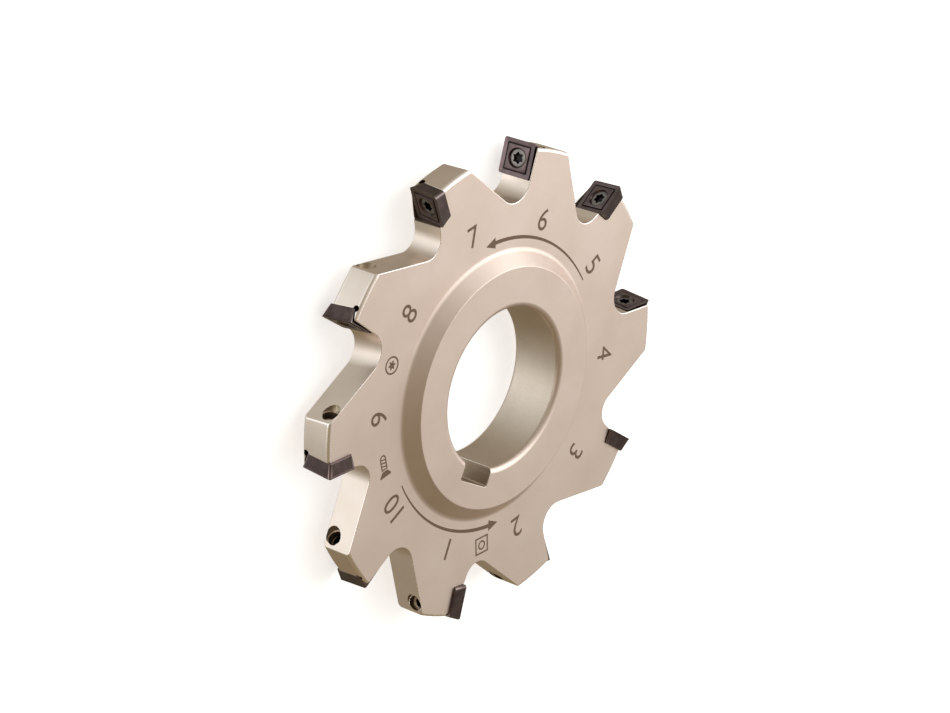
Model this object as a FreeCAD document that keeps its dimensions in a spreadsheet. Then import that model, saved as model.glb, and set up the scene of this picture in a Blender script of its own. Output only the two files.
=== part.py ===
# Disc milling cutter: a steel disc with ten clamped carbide inserts, facing its two sides in turn.
# The bore axis is Z, the origin is the bore centre at mid width, and the marked face looks up.
# Lengths are in millimetres and angles in degrees.
import FreeCAD, Part
import os

import Sketcher

DOC = FreeCAD.newDocument("disc_milling_cutter")

# Driving sizes: alias, value and what it measures
DRIVING = (
    ("cutting_diameter", 80, "over the outer cutting edges"),
    ("cutting_width", 7, "over the side cutting edges"),
    ("tooth_pairs", 5, "pairs of teeth, one insert facing each side"),
    ("bore_diameter", 27, "arbor bore"),
    ("bore_edge_radius", 1, "rounding of both bore edges, turned as two flats"),
    ("keyway_width", 7, "driving key slot"),
    ("keyway_depth", 2.8, "keyway floor beyond the bore wall"),
    ("keyway_corner_radius", 0.4, "keyway floor corners"),
    ("keyway_to_nose_angle", 15.1, "from the keyway to the next insert nose"),
    ("hub_width", 10, "over the two clamping faces"),
    ("hub_top_diameter", 40.8, "clamping face"),
    ("hub_base_diameter", 45.4, "foot of the hub cone on the disc face"),
    ("disc_thickness", 5.6, "disc and teeth"),
    ("land_drop", 0.6, "tooth lands below the cutting circle"),
    ("land_length", 8.9, "insert nose back to the heel of its tooth"),
    ("rim_chamfer", 0.5, "edges of the lands"),
    ("gullet_radius", 3, "round bottom of the chip gullet"),
    ("gullet_drop", 6.6, "gullet centre below the cutting circle"),
    ("gullet_lead", 3.75, "gullet centre ahead of the insert nose"),
    ("gullet_wall_angle", 15.5, "wall ahead of the insert, from radial"),
    ("insert_edge", 6, "square insert, side of the rake face"),
    ("insert_thickness", 2.38, "rake face to seat"),
    ("insert_clearance_angle", 11, "flank of the insert"),
    ("insert_nose_radius", 0.4, "corners of the insert"),
    ("chip_groove_margin", 0.7, "cutting edge to the chip groove"),
    ("chip_groove_width", 0.35, "square groove round the screw hole"),
    ("chip_groove_depth", 0.12, "groove below the rake face"),
    ("axial_rake_angle", 5.5, "own side of the insert leads"),
    ("radial_lean_angle", 3.9, "inner end of the insert leads"),
    ("pocket_clearance", 0.2, "insert flank to pocket wall"),
    ("pocket_relief_diameter", 1.1, "round relief between seat and side wall"),
    ("screw_diameter", 2, "clamp screw thread"),
    ("screw_length", 4, "clamp screw, over all"),
    ("screw_head_diameter", 2.9, "rim of the countersunk head"),
    ("screw_head_angle", 60, "full angle of the head cone"),
    ("screw_head_recess", 0.3, "head below the rake face"),
    ("screw_hole_clearance", 0.25, "insert hole over the screw, on diameter"),
    ("countersink_clearance", 0.03, "insert countersink over the head, on radius"),
    ("thread_clearance", 0.03, "tooth hole over the screw, on radius"),
    ("lobe_recess_depth", 0.7, "six-lobe recess of the head"),
    ("lobe_diameter", 1.75, "over the tips of its lobes"),
    ("lobe_core_diameter", 1.25, "over the hollows between its lobes"),
    ("lobes", 6, "lobes of the recess"),
    ("cut_overrun", 3, "how far cutting shapes run into the open"),
)

# Sizes that follow from the driving ones
WORKED = (
    ("nose_radius", "Sizes.cutting_diameter / 2"),
    ("land_radius", "Sizes.cutting_diameter / 2 - Sizes.land_drop"),
    ("bore_radius", "Sizes.bore_diameter / 2"),
    ("edge_flat_run", "Sizes.bore_edge_radius * (1 - cos(45))"),
    ("half_disc", "Sizes.disc_thickness / 2"),
    ("half_hub", "Sizes.hub_width / 2"),
    ("half_cut", "Sizes.cutting_width / 2"),
    ("tooth_pitch", "180 / Sizes.tooth_pairs"),
    ("up_nose_angle", "Sizes.keyway_to_nose_angle - 90"),
    ("down_nose_angle", "Sizes.keyway_to_nose_angle - 90 + tooth_pitch"),
    ("heel_angle", "tooth_pitch - asin(Sizes.land_length / land_radius) / 1 deg"),
    ("flank_inset", "Sizes.insert_thickness * tan(Sizes.insert_clearance_angle)"),
    ("pocket_wall", "flank_inset - Sizes.insert_edge - Sizes.pocket_clearance"),
    ("screw_radius", "Sizes.screw_diameter / 2"),
    ("head_radius", "Sizes.screw_head_diameter / 2"),
    ("head_slope", "tan(Sizes.screw_head_angle / 2)"),
    ("head_cone_foot", "Sizes.screw_head_recess + (head_radius - screw_radius) / head_slope"),
    ("screw_tip", "Sizes.screw_head_recess + Sizes.screw_length"),
    ("insert_hole_radius", "screw_radius + Sizes.screw_hole_clearance / 2"),
    ("sink_head_radius", "head_radius + Sizes.countersink_clearance"),
    ("sink_mouth_radius", "sink_head_radius + Sizes.screw_head_recess * head_slope"),
    ("sink_foot", "(sink_mouth_radius - insert_hole_radius) / head_slope"),
)

# Where the nose corner of an insert stands and how its axes turn, for each side of the disc.
# Local Z is the cutting direction. The insert reaches from the nose along local -X and -Y.
UP_TURN = ("rotationz(Worked.up_nose_angle) * rotation(vector(1; 1; 1); -120)"
           " * rotationx(-Sizes.radial_lean_angle) * rotationy(-Sizes.axial_rake_angle)")
DOWN_TURN = ("rotationz(Worked.down_nose_angle) * rotationx(-90)"
             " * rotationy(Sizes.radial_lean_angle) * rotationx(Sizes.axial_rake_angle)")
UP_NOSE = ("vector(Worked.nose_radius * cos(Worked.up_nose_angle);"
           " Worked.nose_radius * sin(Worked.up_nose_angle); Worked.half_cut)")
DOWN_NOSE = ("vector(Worked.nose_radius * cos(Worked.down_nose_angle);"
             " Worked.nose_radius * sin(Worked.down_nose_angle); -Worked.half_cut)")
UP_FRAME = "placement(%s; %s)" % (UP_NOSE, UP_TURN)
DOWN_FRAME = "placement(%s; %s)" % (DOWN_NOSE, DOWN_TURN)
LEVEL = "rotation(0; 0; 0)"

# Two places or lengths closer than this are the same one
SAME = 1e-4


def fill_sheet(name, cells):
    """Write one row a size: its note in column A and its value, with the alias, in column B."""
    sheet = DOC.addObject("Spreadsheet::Sheet", name)
    for row, (alias, content, note) in enumerate(cells, start=1):
        sheet.set("A%d" % row, note)
        sheet.set("B%d" % row, content)
        sheet.setAlias("B%d" % row, alias)
    DOC.recompute()
    return sheet


SIZES = fill_sheet("Sizes", [(alias, str(number), note) for alias, number, note in DRIVING])
fill_sheet("Worked", [(alias, "=" + formula, formula) for alias, formula in WORKED])


def value(expression):
    """Number that an expression gives now, for the first guess of a sketch."""
    return float(SIZES.evalExpression(expression))


def add_body(label):
    body = DOC.addObject("PartDesign::Body", label)
    body.Label = label
    return body


def origin_feature(body, role):
    return next(item for item in body.Origin.OriginFeatures if item.Role == role)


def add_sketch(body, name, plane, offset=None):
    """Sketch on one origin plane of the body, moved by a placement expression."""
    sketch = body.newObject("Sketcher::SketchObject", name)
    sketch.AttachmentSupport = (origin_feature(body, plane), [""])
    sketch.MapMode = "FlatFace"
    if offset:
        sketch.setExpression("AttachmentOffset", offset)
    return sketch


def bind(sketch, constraint, expression):
    """Add one constraint and tie its value to an expression."""
    index = sketch.addConstraint(constraint)
    sketch.setExpression("Constraints[%d]" % index, expression)


def pin(sketch, element, end, place):
    """Hold one point of a sketch element at the X and Y that two expressions give."""
    across, along = place
    bind(sketch, Sketcher.Constraint("DistanceX", -1, 1, element, end, value(across)), across)
    bind(sketch, Sketcher.Constraint("DistanceY", -1, 1, element, end, value(along)), along)


def add_outline(sketch, corners):
    """Closed outline of straight lines through corners given as pairs of expressions."""
    points = [FreeCAD.Vector(value(across), value(along), 0) for across, along in corners]
    lines = []
    for start, end in zip(points, points[1:] + points[:1]):
        lines.append(sketch.addGeometry(Part.LineSegment(start, end)))
    for line, following in zip(lines, lines[1:] + lines[:1]):
        sketch.addConstraint(Sketcher.Constraint("Coincident", line, 2, following, 1))
    for line, corner in zip(lines, corners):
        pin(sketch, line, 1, corner)
    return lines


def add_circle(sketch, centre, diameter):
    middle = FreeCAD.Vector(value(centre[0]), value(centre[1]), 0)
    shape = Part.Circle(middle, FreeCAD.Vector(0, 0, 1), value(diameter) / 2)
    circle = sketch.addGeometry(shape)
    pin(sketch, circle, 3, centre)
    bind(sketch, Sketcher.Constraint("Diameter", circle, value(diameter)), diameter)


def add_revolved(body, kind, name, sketch):
    """Revolution or Groove of a sketch all the way round its own vertical axis."""
    feature = body.newObject("PartDesign::" + kind, name)
    feature.Profile = sketch
    feature.ReferenceAxis = (sketch, ["V_Axis"])
    feature.Angle = 360
    sketch.Visibility = False
    DOC.recompute()
    return feature


def add_pocket(body, name, sketch, depth=None, forward=False, symmetric=False):
    """Cut a sketch from the body: through all, or to a depth that an expression gives."""
    before = body.Shape.Volume
    pocket = body.newObject("PartDesign::Pocket", name)
    pocket.Profile = sketch
    pocket.Type = "Length" if depth else "ThroughAll"
    if depth:
        pocket.setExpression("Length", depth)
    pocket.Reversed = forward
    if symmetric:
        pocket.SideType = "Symmetric"
    sketch.Visibility = False
    DOC.recompute()
    require_cut(pocket, before)
    return pocket


def require_cut(feature, before):
    if not 0 < feature.Shape.Volume < before:
        raise RuntimeError(feature.Name + " removes nothing")


def add_ring(body, name, originals, copies, axis="Z_Axis"):
    """Repeat features evenly round an origin axis of the body and make the ring its tip."""
    before = body.Shape.Volume
    ring = body.newObject("PartDesign::PolarPattern", name)
    ring.Originals = originals
    ring.Axis = (origin_feature(body, axis), [""])
    ring.Angle = 360
    ring.setExpression("Occurrences", copies)
    body.Tip = ring
    DOC.recompute()
    require_cut(ring, before)
    return ring


def edge_names(shape, wanted):
    """Names of the edges for which wanted(edge) holds, as a fillet or chamfer takes them."""
    return ["Edge%d" % number for number, edge in enumerate(shape.Edges, start=1) if wanted(edge)]


def upright_faces(shape):
    """Names of the faces whose normal lies in the XY plane of a body at its own origin."""
    names = []
    for number, face in enumerate(shape.Faces, start=1):
        if abs(face.normalAt(0, 0).z) < SAME:
            names.append("Face%d" % number)
    return names


def ring_edges(shape, radius, height):
    """Names of the full circles round Z that have this radius and stand at plus or minus height."""
    def matches(edge):
        curve = edge.Curve
        if not isinstance(curve, Part.Circle):
            return False
        same_radius = abs(curve.Radius - radius) < SAME
        return same_radius and abs(abs(curve.Center.z) - height) < SAME
    return edge_names(shape, matches)


def add_edge_feature(body, kind, name, base, edges, size_property, expression):
    feature = body.newObject("PartDesign::" + kind, name)
    feature.Base = (base, edges)
    feature.setExpression(size_property, expression)
    DOC.recompute()
    return feature


def turn_blank(body):
    """Turned blank: disc, hub cones on both sides, bore with rounded edges, chamfered rim."""
    sketch = add_sketch(body, "blank_section", "XZ_Plane")
    upper = [
        ("Worked.bore_radius", "Worked.half_hub - Sizes.bore_edge_radius"),
        ("Worked.bore_radius + Worked.edge_flat_run", "Worked.half_hub - Worked.edge_flat_run"),
        ("Worked.bore_radius + Sizes.bore_edge_radius", "Worked.half_hub"),
        ("Sizes.hub_top_diameter / 2", "Worked.half_hub"),
        ("Sizes.hub_base_diameter / 2", "Worked.half_disc"),
        ("Worked.land_radius", "Worked.half_disc"),
    ]
    lower = [(across, "-(%s)" % along) for across, along in reversed(upper)]
    add_outline(sketch, upper + lower)
    blank = add_revolved(body, "Revolution", "blank", sketch)
    rim_edges = ring_edges(blank.Shape, value("Worked.land_radius"), value("Worked.half_disc"))
    add_edge_feature(body, "Chamfer", "rim_bevel", blank, rim_edges, "Size", "Sizes.rim_chamfer")


def cut_keyway(body):
    """Broached slot in the bore wall on -Y, square to the faces, with small floor corners."""
    sketch = add_sketch(body, "keyway_section", "XY_Plane")
    side = "Sizes.keyway_width / 2"
    floor = "-(Worked.bore_radius + Sizes.keyway_depth)"
    inside = "-Worked.bore_radius / 2"
    add_outline(sketch, [("-" + side, inside), ("-" + side, floor), (side, floor), (side, inside)])
    keyway = add_pocket(body, "keyway", sketch, symmetric=True)
    floor_height = value(floor)

    def is_floor_corner(edge):
        ends = [vertex.Point for vertex in edge.Vertexes]
        if len(ends) != 2:
            return False
        upright = abs(abs(ends[0].z - ends[1].z) - edge.Length) < SAME
        return upright and all(abs(end.y - floor_height) < SAME for end in ends)

    add_edge_feature(body, "Fillet", "keyway_corners", keyway,
                     edge_names(keyway.Shape, is_floor_corner),
                     "Radius", "Sizes.keyway_corner_radius")


def cut_gullets(body):
    """Chip gullets: a leaning wall ahead of the insert, a round bottom, and the next tooth's back.

    The sketch turns with the first insert, so its X axis is radial through that insert's nose.
    """
    turned = "placement(vector(0; 0; 0); rotationz(Worked.up_nose_angle))"
    sketch = add_sketch(body, "gullet_section", "XY_Plane", turned)
    centre = ("Worked.nose_radius - Sizes.gullet_drop", "Sizes.gullet_lead")
    heel = ("Worked.land_radius * cos(Worked.heel_angle)",
            "Worked.land_radius * sin(Worked.heel_angle)")
    middle = FreeCAD.Vector(value(centre[0]), value(centre[1]), 0)
    corner = FreeCAD.Vector(value(heel[0]), value(heel[1]), 0)
    radius = value("Sizes.gullet_radius")
    overrun = value("Sizes.cut_overrun")
    outer = value("Worked.land_radius + Sizes.cut_overrun")
    lean = FreeCAD.Units.Quantity(value("Sizes.gullet_wall_angle"), FreeCAD.Units.Angle)
    up = FreeCAD.Rotation(FreeCAD.Vector(0, 0, -1), lean.Value).multVec(FreeCAD.Vector(1, 0, 0))

    # First guess of the two points where the straight walls leave the round bottom
    ahead = middle + FreeCAD.Vector(up.y, -up.x, 0) * radius
    reach = corner - middle
    tangent = (reach.Length ** 2 - radius ** 2) ** 0.5
    back = middle + reach * (radius / reach.Length) ** 2
    back = back + FreeCAD.Vector(-reach.y, reach.x, 0) * (radius * tangent / reach.Length ** 2)
    back_way = (corner - back).normalize()
    wall_top = ahead + up * ((outer - ahead.x) / up.x)
    back_top = corner + back_way * overrun

    full = Part.Circle(middle, FreeCAD.Vector(0, 0, 1), radius)
    bottom = sketch.addGeometry(Part.ArcOfCircle(full, full.parameter(back), full.parameter(ahead)))
    wall = sketch.addGeometry(Part.LineSegment(ahead, wall_top))
    mouth = sketch.addGeometry(Part.LineSegment(wall_top, back_top))
    flank = sketch.addGeometry(Part.LineSegment(back_top, back))
    heel_point = sketch.addGeometry(Part.Point(corner), True)

    pin(sketch, bottom, 3, centre)
    pin(sketch, heel_point, 1, heel)
    bind(sketch, Sketcher.Constraint("Radius", bottom, radius), "Sizes.gullet_radius")
    sketch.addConstraint(Sketcher.Constraint("Tangent", bottom, 2, wall, 1))
    sketch.addConstraint(Sketcher.Constraint("Tangent", flank, 2, bottom, 1))
    sketch.addConstraint(Sketcher.Constraint("Coincident", wall, 2, mouth, 1))
    sketch.addConstraint(Sketcher.Constraint("Coincident", mouth, 2, flank, 1))
    sketch.addConstraint(Sketcher.Constraint("PointOnObject", heel_point, 1, flank))
    bind(sketch, Sketcher.Constraint("DistanceX", -1, 1, wall, 2, outer),
         "Worked.land_radius + Sizes.cut_overrun")
    bind(sketch, Sketcher.Constraint("Distance", heel_point, 1, flank, 1, overrun),
         "Sizes.cut_overrun")
    bind(sketch, Sketcher.Constraint("Angle", wall, 1, -1, 1, lean.getValueAs("rad").Value),
         "Sizes.gullet_wall_angle")

    gullet = add_pocket(body, "gullet", sketch, symmetric=True)
    return add_ring(body, "gullets", [gullet], "Sizes.tooth_pairs * 2")


def cut_seats(body, side, frame, relief_turn, relief_centre):
    """Insert pockets of one side: seat, wall, corner relief and tapped hole through the tooth."""
    seat_frame = "%s * placement(vector(0; 0; -Sizes.insert_thickness); %s)" % (frame, LEVEL)
    sketch = add_sketch(body, side + "_seat_outline", "XY_Plane", seat_frame)
    wall = "Worked.pocket_wall"
    free = "Sizes.cut_overrun"
    add_outline(sketch, [(wall, wall), (free, wall), (free, free), (wall, free)])
    reach = "Sizes.insert_thickness + Sizes.cut_overrun / 2"
    seat = add_pocket(body, side + "_seat", sketch, depth=reach, forward=True)
    seat.setExpression("TaperAngle", "Sizes.insert_clearance_angle")

    relief_frame = "%s * placement(vector(%s); %s)" % (frame, relief_turn[0], relief_turn[1])
    sketch = add_sketch(body, side + "_relief_section", "XY_Plane", relief_frame)
    add_circle(sketch, relief_centre, "Sizes.pocket_relief_diameter")
    relief = add_pocket(body, side + "_relief", sketch,
                        depth="Sizes.cut_overrun - Worked.pocket_wall")

    axis = ("-Sizes.insert_edge / 2", "-Sizes.insert_edge / 2")
    sketch = add_sketch(body, side + "_thread_section", "XY_Plane", seat_frame)
    add_circle(sketch, axis, "Sizes.screw_diameter + 2 * Sizes.thread_clearance")
    thread = add_pocket(body, side + "_thread", sketch)
    return add_ring(body, side + "_seats", [seat, relief, thread], "Sizes.tooth_pairs")


def make_cutter_body():
    body = add_body("cutter_body")
    turn_blank(body)
    cut_keyway(body)
    cut_gullets(body)
    cut_seats(body, "up", UP_FRAME, ("0; Sizes.cut_overrun; 0", "rotationx(-90)"),
              ("Worked.pocket_wall", "Sizes.insert_thickness"))
    cut_seats(body, "down", DOWN_FRAME, ("Sizes.cut_overrun; 0; 0", "rotationy(90)"),
              ("Sizes.insert_thickness", "Worked.pocket_wall"))
    return body


def tooth_frame(number):
    """Placement expression of the nose of insert number 0, 1, 2 and so on round the disc."""
    frame = DOWN_FRAME if number % 2 else UP_FRAME
    turn = "rotationz(%d * 2 * Worked.tooth_pitch)" % (number // 2)
    return "placement(vector(0; 0; 0); %s) * %s" % (turn, frame)


def make_insert(number):
    """Square carbide insert: leaning flanks, rounded corners, countersunk hole, chip groove."""
    body = add_body("insert_%02d" % (number + 1))
    body.setExpression("Placement", tooth_frame(number))
    name = body.Name
    far = "-Sizes.insert_edge"
    sketch = add_sketch(body, name + "_rake_outline", "XY_Plane")
    add_outline(sketch, [(far, far), ("0", far), ("0", "0"), (far, "0")])
    block = body.newObject("PartDesign::Pad", name + "_block")
    block.Profile = sketch
    block.Reversed = True
    block.setExpression("Length", "Sizes.insert_thickness")
    sketch.Visibility = False
    DOC.recompute()

    flanks = body.newObject("PartDesign::Draft", name + "_flanks")
    flanks.Base = (block, upright_faces(block.Shape))
    flanks.NeutralPlane = (origin_feature(body, "XY_Plane"), [""])
    flanks.setExpression("Angle", "Sizes.insert_clearance_angle")
    flanks.Reversed = True
    DOC.recompute()
    require_cut(flanks, block.Shape.Volume)

    def is_corner(edge):
        heights = [vertex.Point.z for vertex in edge.Vertexes]
        return abs(heights[0] - heights[1]) > SAME

    add_edge_feature(body, "Fillet", name + "_corners", flanks,
                     edge_names(flanks.Shape, is_corner),
                     "Radius", "Sizes.insert_nose_radius")

    half = "Sizes.insert_edge / 2"
    on_axis = "placement(vector(-%s; 0; %s); %s)" % (half, half, LEVEL)
    sketch = add_sketch(body, name + "_hole_section", "XZ_Plane", on_axis)
    below = "-Sizes.insert_thickness - Sizes.cut_overrun"
    add_outline(sketch, [("0", "0"), ("Worked.sink_mouth_radius", "0"),
                         ("Worked.insert_hole_radius", "-Worked.sink_foot"),
                         ("Worked.insert_hole_radius", below), ("0", below)])
    before = body.Shape.Volume
    hole = add_revolved(body, "Groove", name + "_hole", sketch)
    require_cut(hole, before)

    sketch = add_sketch(body, name + "_groove_outline", "XY_Plane")
    for inset in ("Sizes.chip_groove_margin",
                  "(Sizes.chip_groove_margin + Sizes.chip_groove_width)"):
        near = "-" + inset
        deep = far + " + " + inset
        add_outline(sketch, [(deep, deep), (near, deep), (near, near), (deep, near)])
    add_pocket(body, name + "_chip_groove", sketch, depth="Sizes.chip_groove_depth")
    return body


def make_screw(number):
    """Countersunk clamp screw with a six-lobe recess, modelled at its insert's hole axis."""
    body = add_body("clamp_screw_%02d" % (number + 1))
    to_axis = "placement(vector(-Sizes.insert_edge / 2; -Sizes.insert_edge / 2; 0); %s)" % LEVEL
    body.setExpression("Placement", tooth_frame(number) + " * " + to_axis)
    name = body.Name
    sketch = add_sketch(body, name + "_section", "XZ_Plane")
    add_outline(sketch, [
        ("0", "-Sizes.screw_head_recess"),
        ("Worked.head_radius", "-Sizes.screw_head_recess"),
        ("Worked.screw_radius", "-Worked.head_cone_foot"),
        ("Worked.screw_radius", "-Worked.screw_tip"),
        ("0", "-Worked.screw_tip"),
    ])
    add_revolved(body, "Revolution", name + "_turned", sketch)

    head_top = "placement(vector(0; 0; -Sizes.screw_head_recess); %s)" % LEVEL
    sketch = add_sketch(body, name + "_recess_outline", "XY_Plane", head_top)
    corners = []
    for half_step in range(2 * int(value("Sizes.lobes"))):
        across = "Sizes.lobe_core_diameter" if half_step % 2 else "Sizes.lobe_diameter"
        turn = "(%d * 180 / Sizes.lobes)" % half_step
        corners.append(("%s / 2 * cos(%s)" % (across, turn), "%s / 2 * sin(%s)" % (across, turn)))
    add_outline(sketch, corners)
    add_pocket(body, name + "_recess", sketch, depth="Sizes.lobe_recess_depth")
    return body


def group_screws(screws):
    """The clamp screws are alike, so they are kept together as one group of separate solids."""
    group = DOC.addObject("Part::Compound", "insert_screws")
    group.Label = "insert_screws"
    group.Links = screws
    return group


def check_document():
    DOC.recompute()
    for item in DOC.Objects:
        if "Invalid" in item.State or "Error" in item.State:
            raise RuntimeError(item.Name + " failed to build")


def write_parts(parts):
    os.makedirs("parts", exist_ok=True)
    for part in parts:
        if part.Shape.isNull() or not part.Shape.isValid():
            raise RuntimeError(part.Label + " has no valid shape")
    for part in parts:
        part.Shape.exportStep("parts/%s.step" % part.Label)


teeth = range(2 * int(value("Sizes.tooth_pairs")))
cutter_body = make_cutter_body()
inserts = [make_insert(number) for number in teeth]
insert_screws = group_screws([make_screw(number) for number in teeth])
check_document()
write_parts([cutter_body] + inserts + [insert_screws])
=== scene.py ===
# Disc milling cutter: a nickel-plated steel disc with ten clamped carbide inserts, lying on a pale
# studio floor. Sizes are in millimetres and turned to metres when a mesh is made. The bore axis
# is Z, and the marked face looks up.
import math

import bmesh
import bpy
from mathutils import Matrix, Vector


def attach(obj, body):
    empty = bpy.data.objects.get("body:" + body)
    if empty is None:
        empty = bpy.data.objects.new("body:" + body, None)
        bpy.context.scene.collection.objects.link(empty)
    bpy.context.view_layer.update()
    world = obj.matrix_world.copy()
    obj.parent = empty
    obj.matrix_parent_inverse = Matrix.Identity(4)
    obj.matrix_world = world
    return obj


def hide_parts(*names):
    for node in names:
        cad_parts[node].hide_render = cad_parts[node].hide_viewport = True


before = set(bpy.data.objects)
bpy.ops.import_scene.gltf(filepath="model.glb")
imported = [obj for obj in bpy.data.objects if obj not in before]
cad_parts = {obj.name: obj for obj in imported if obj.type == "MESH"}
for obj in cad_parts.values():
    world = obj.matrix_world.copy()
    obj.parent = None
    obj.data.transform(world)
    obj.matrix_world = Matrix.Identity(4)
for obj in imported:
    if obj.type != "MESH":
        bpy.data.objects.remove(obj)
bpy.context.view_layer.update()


# The photograph
# A long lens looks at the marked face from one side, 37 degrees above the disc, and is rolled so
# that the keyway is at the bottom of the picture.
CAMERA_PLACE = (-527.23, 12.76, 400.23)
CAMERA_RIGHT = (0.57916, 0.32012, 0.74973)
CAMERA_DOWN = (0.18371, -0.94727, 0.26255)
CAMERA_AHEAD = (0.79424, -0.01432, -0.60743)
FOCAL_PIXELS = 4076.9
PICTURE_WIDTH = 950

camera_data = bpy.data.cameras.new("studio_camera")
camera_data.sensor_width = 36
camera_data.lens = FOCAL_PIXELS / PICTURE_WIDTH * camera_data.sensor_width
camera_data.clip_start = 0.05
camera_data.clip_end = 20
camera = bpy.data.objects.new("studio_camera", camera_data)
camera_turn = Matrix((CAMERA_RIGHT, [-part for part in CAMERA_DOWN],
                      [-part for part in CAMERA_AHEAD]))
camera.matrix_world = (Matrix.Translation(Vector(CAMERA_PLACE) * 0.001)
                       @ camera_turn.transposed().to_4x4())
bpy.context.scene.collection.objects.link(camera)
bpy.context.scene.camera = camera


# The cutter body
# One disc of tool steel: turned with a hub on each face, bored, broached for the key, milled for
# ten gullets and ten insert seats, drilled and tapped, and then blasted and nickel plated.

# The turned section: radii, and heights above the middle of the disc
BORE = 13.5
BORE_ROUND = 1.0
HALF_HUB = 5.0
HUB_TOP = 20.4
HUB_FOOT = 22.7
HUB_EDGE_ROUND = 0.25
HUB_FOOT_ROUND = 1.2
HALF_DISC = 2.8
LAND = 39.4
RIM_ROUND = 0.6

# Points of a turned ring, and the bearing of the first, clear of the corners that are milled later
RING_STEPS = 180
RIM_PHASE = math.radians(1.06)
BORE_PHASE = math.radians(0.46)

# The teeth: the radius and height of an insert's nose, its two tilts, bearings in degrees, and
# the length of a land from the nose back to the heel
NOSE = 40.0
HALF_CUT = 3.5
AXIAL_RAKE = 5.5
RADIAL_LEAN = 3.9
TEETH = 10
PITCH = 36.0
FIRST_NOSE = -74.9
LAND_LENGTH = 8.9

# Half the length of a cutting shape that goes right through
FAR = 8.0

# Finishes of the blank, by their place in its list of materials
FACED, TURNED, BORED, EDGE = range(4)


def rounded_corner(before, corner, after, radius, steps):
    """Points of an arc that rounds one corner of an outline, tangent to both its sides."""
    before, corner, after = Vector(before), Vector(corner), Vector(after)
    back = (before - corner).normalized()
    onward = (after - corner).normalized()
    half = back.angle(onward) / 2
    reach = radius / math.tan(half)
    centre = corner + (back + onward).normalized() * radius / math.sin(half)
    start = corner + back * reach - centre
    swing = start.angle_signed(corner + onward * reach - centre)
    points = []
    for step in range(steps + 1):
        turned = Matrix.Rotation(-swing * step / steps, 2) @ start
        points.append(tuple(centre + turned))
    return points


def mesh_object(name, vertices, faces, materials):
    """Object from a list of points in millimetres and faces given as lists of point numbers."""
    mesh = bpy.data.meshes.new(name)
    mesh.from_pydata([Vector(point) for point in vertices], [], faces)
    for material in materials:
        mesh.materials.append(material)
    piece = bpy.data.objects.new(name, mesh)
    bpy.context.scene.collection.objects.link(piece)
    return piece


def loops_to_faces(count, size, closed):
    """Quads between loops of equally many points, one after another, closed into a ring or not."""
    faces = []
    for loop in range(count if closed else count - 1):
        following = (loop + 1) % count
        for point in range(size):
            beside = (point + 1) % size
            faces.append((loop * size + point, loop * size + beside,
                          following * size + beside, following * size + point))
    return faces


def turned_blank(materials):
    """Ring of the turned section. Its materials are for the flat faces, for what is turned, for
    the bore and for the rounded edges."""
    cone_top = (HUB_TOP, HALF_HUB)
    cone_foot = (HUB_FOOT, HALF_DISC)
    bore_mouth = (BORE, HALF_HUB)
    rim = (LAND, HALF_DISC)
    upper = rounded_corner((BORE, 0), bore_mouth, cone_top, BORE_ROUND, steps=8)
    upper += rounded_corner(bore_mouth, cone_top, cone_foot, HUB_EDGE_ROUND, steps=4)
    upper += rounded_corner(cone_top, cone_foot, rim, HUB_FOOT_ROUND, steps=6)
    upper += rounded_corner(cone_foot, rim, (LAND, 0), RIM_ROUND, steps=5)
    section = upper + [(across, -height) for across, height in reversed(upper)]
    points = []
    for across, height in section:
        first = RIM_PHASE if across > LAND - 1 else BORE_PHASE
        for step in range(RING_STEPS):
            turn = first + 2 * math.pi * step / RING_STEPS
            points.append((across * math.cos(turn), across * math.sin(turn), height))
    blank = mesh_object("cutter_blank", points,
                        loops_to_faces(len(section), RING_STEPS, True), materials)
    for face in blank.data.polygons:
        slope = abs(face.normal.z)
        if face.center.xy.length < BORE + 0.01:
            face.material_index = BORED
        elif face.center.xy.length > LAND - RIM_ROUND and slope > 0.01:
            face.material_index = EDGE
        else:
            face.material_index = FACED if slope > 0.5 else TURNED
    return blank


def prism(outline, low, high):
    """Points and faces of an upright prism over an outline, from low to high."""
    count = len(outline)
    points = [(x, y, low) for x, y in outline] + [(x, y, high) for x, y in outline]
    faces = loops_to_faces(2, count, False)
    faces += [tuple(reversed(range(count))), tuple(range(count, 2 * count))]
    return points, faces


def box_points(left, low, right, high):
    return [(left, low), (right, low), (right, high), (left, high)]


def gullet_outline(middle, radius, wall_lean):
    """Gullet in the frame of its tooth, X radial through the nose: a leaning wall ahead of the
    insert, a round bottom, and the straight back of the next tooth, out past its heel."""
    beyond = 3
    middle = Vector(middle)
    lean = math.radians(wall_lean)
    up = Vector((math.cos(lean), -math.sin(lean)))
    heel_turn = math.radians(PITCH) - math.asin(LAND_LENGTH / LAND)
    heel = Vector((LAND * math.cos(heel_turn), LAND * math.sin(heel_turn)))
    ahead = middle + Vector((up.y, -up.x)) * radius
    reach = heel - middle
    tangent = math.sqrt(reach.length ** 2 - radius ** 2)
    back = middle + reach * (radius / reach.length) ** 2
    back += Vector((-reach.y, reach.x)) * (radius * tangent / reach.length ** 2)
    start = math.atan2(back.y - middle.y, back.x - middle.x)
    finish = math.atan2(ahead.y - middle.y, ahead.x - middle.x)
    if finish < start:
        finish += 2 * math.pi
    steps = 28
    outline = []
    for step in range(steps + 1):
        turn = start + (finish - start) * step / steps
        outline.append(middle + radius * Vector((math.cos(turn), math.sin(turn))))
    outline.append(ahead + up * ((LAND + beyond - ahead.x) / up.x))
    outline.append(heel + (heel - back).normalized() * beyond)
    return [tuple(point) for point in outline]


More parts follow.
